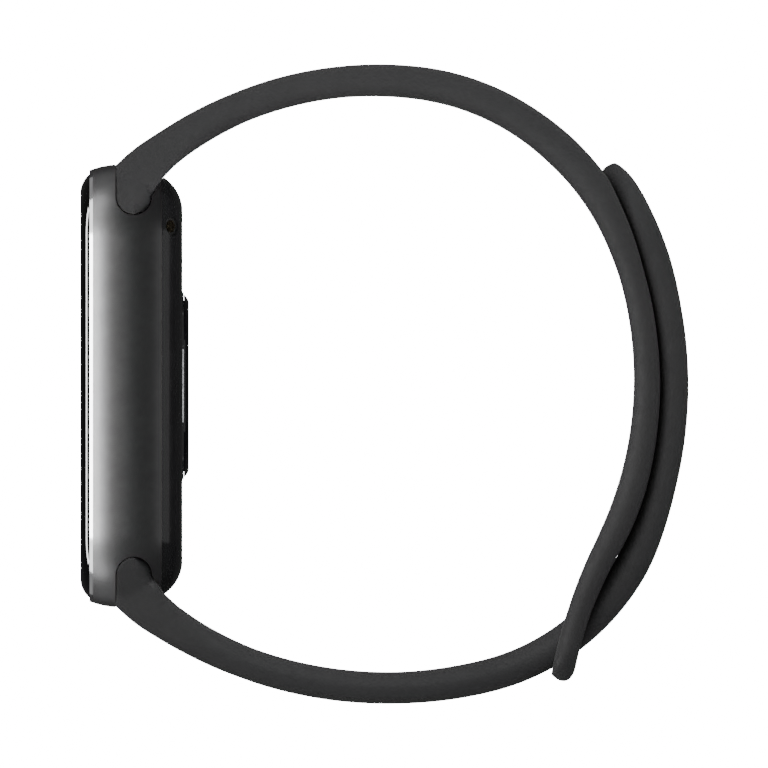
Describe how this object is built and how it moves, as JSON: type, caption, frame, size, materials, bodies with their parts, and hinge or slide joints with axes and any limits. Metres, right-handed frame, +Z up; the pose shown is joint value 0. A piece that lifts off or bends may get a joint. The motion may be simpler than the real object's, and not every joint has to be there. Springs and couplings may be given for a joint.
{
  "type": "fitness tracker band",
  "caption": "Slim fitness tracker with a glass front, metal frame and sensor back, on a closed rubber strap with a loop, holes and a stud.",
  "frame": {"origin": "middle of the object's outline in X and Y, on the surface that it lies on", "axes": "+Z up, across the strap's width; +Y along the tracker's length, towards the strap with the holes; -X out of the screen"},
  "size_m": [0.0586, 0.0616, 0.0254],
  "materials": {
    "cover_glass": "black printed glass, polished, with a rounded edge",
    "adhesive": "thin black adhesive",
    "sensor_film": "thin smoky film with a fine grid",
    "display": "dark display cell",
    "backlight": "white light guide",
    "flex_ribbon": "amber flexible circuit with copper tracks",
    "connector": "cream moulded connector",
    "polished_trim": "polished bevel",
    "frame_metal": "dark grey satin metal, fine bead-blasted grain",
    "gloss_cover": "glossy black moulded plastic",
    "seal_rubber": "soft red gasket",
    "contact_seal": "black moulded sleeve",
    "ring_plastic": "thin polished bead round the window",
    "window_plastic": "glossy black infrared window",
    "board": "green circuit board",
    "chip": "black moulded chips",
    "led": "pale lens of a light source",
    "barrier": "black light barrier",
    "shield_steel": "tin-plated sheet",
    "battery_foil": "crinkled silver pouch foil",
    "contact_strip": "thin plated strip",
    "motor_steel": "drawn steel can",
    "magnet": "nickel-plated magnet",
    "rotor_metal": "dense sintered weight",
    "contact_gold": "gold-plated pin",
    "spring_steel": "rolled spring steel",
    "core_plastic": "glass-filled moulding",
    "strap_rubber": "soft charcoal rubber with a fine matt texture",
    "clasp_metal": "turned and brushed metal"
  },
  "bodies": {
    "tracker": {"cover_glass": "cover_glass", "glass_adhesive": "adhesive", "touch_sensor": "sensor_film", "display_panel": "display", "display_backlight": "backlight", "display_flex": "flex_ribbon", "display_connector": "connector", "bezel_ring": "polished_trim", "mid_frame": "frame_metal", "rear_cover": "gloss_cover", "rear_seal": "seal_rubber", "sensor_ring": "ring_plastic", "sensor_window": "window_plastic", "sensor_board": "board", "sensor_connector": "connector", "sensor_leds": "led", "photodiodes": "chip", "light_barrier": "barrier", "main_board": "board", "board_chips": "chip", "shield_can": "shield_steel", "battery_cell": "battery_foil", "battery_pad": "adhesive", "battery_leads": "contact_strip", "motor_case": "motor_steel", "motor_magnet": "magnet", "motor_shaft": "motor_steel", "antenna": "flex_ribbon", "charging_contacts": "contact_gold", "contact_seals": "contact_seal", "contact_leads": "contact_strip", "alignment_magnets": "magnet", "upper_latch": "spring_steel", "lower_latch": "spring_steel", "upper_strap_flex": "strap_rubber", "upper_strap": "strap_rubber", "lower_strap_flex": "strap_rubber", "lower_strap": "strap_rubber"},
    "upper_lug": {"upper_strap_end": "strap_rubber", "upper_lug_core": "core_plastic"},
    "lower_lug": {"lower_strap_end": "strap_rubber", "lower_lug_core": "core_plastic"},
    "tail": {"strap_tail": "strap_rubber", "clasp_stud": "clasp_metal", "clasp_cap": "clasp_metal"},
    "rotor": {"motor_rotor": "rotor_metal"}
  },
  "joints": [
    {"name": "upper_lug_pull", "type": "slide", "parent": "tracker", "child": "upper_lug", "axis": [0, 1, 0], "range_m": [0, 0.006], "deforming": ["upper_strap_flex", "upper_latch"]},
    {"name": "lower_lug_pull", "type": "slide", "parent": "tracker", "child": "lower_lug", "axis": [0, -1, 0], "range_m": [0, 0.006], "deforming": ["lower_strap_flex", "lower_latch"]},
    {"name": "tail_peel", "type": "hinge", "parent": "tracker", "child": "tail", "pos_m": [0.02931, -0.00103, 0.0127], "axis": [0, 0, -1], "range_deg": [0, 60], "stiffness_Nm_per_rad": 0.01},
    {"name": "motor_spin", "type": "hinge", "parent": "tracker", "child": "rotor", "pos_m": [-0.0245, 0.0109, 0.018], "axis": [1, 0, 0], "continuous": true}
  ]
}
